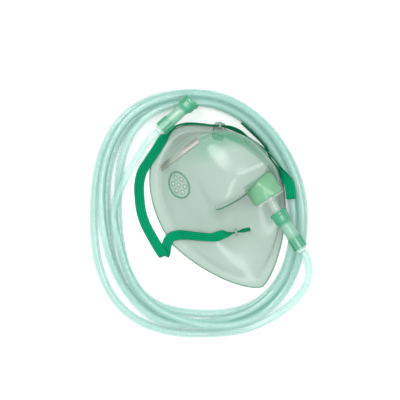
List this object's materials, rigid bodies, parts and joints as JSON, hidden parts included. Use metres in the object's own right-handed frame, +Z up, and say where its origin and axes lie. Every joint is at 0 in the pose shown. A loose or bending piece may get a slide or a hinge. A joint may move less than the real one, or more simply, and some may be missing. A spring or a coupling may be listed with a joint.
{
  "type": "oxygen face mask",
  "caption": "Moulded face mask with nose clip, side vents, inlet collar and elastic head strap, laid rim down inside its coiled supply tubing with push-on end fittings.",
  "frame": {"origin": "on the surface the mask lies on, under the middle of the box of the mask, its strap, clip and adaptor", "axes": "+Z up out of the mask's crown; +X and +Y are the picture's right and up, so the mask's nose end points to -X +Y and its chin end to +X -Y"},
  "size_m": [0.1542, 0.1752, 0.0406],
  "materials": {
    "shell": "soft translucent vinyl",
    "clip": "soft rolled strip",
    "adaptor": "clear hard plastic",
    "strap": "woven elastic",
    "fitting": "soft translucent vinyl",
    "tubing": "soft translucent vinyl"
  },
  "bodies": {
    "root": {"mask_shell": "shell", "nose_clip": "clip", "inlet_adaptor": "adaptor", "head_strap": "strap", "mask_connector": "fitting", "supply_connector": "fitting", "tubing_coil": "tubing", "tubing_lead_mask": "tubing", "tubing_lead_supply": "tubing"}
  },
  "joints": []
}
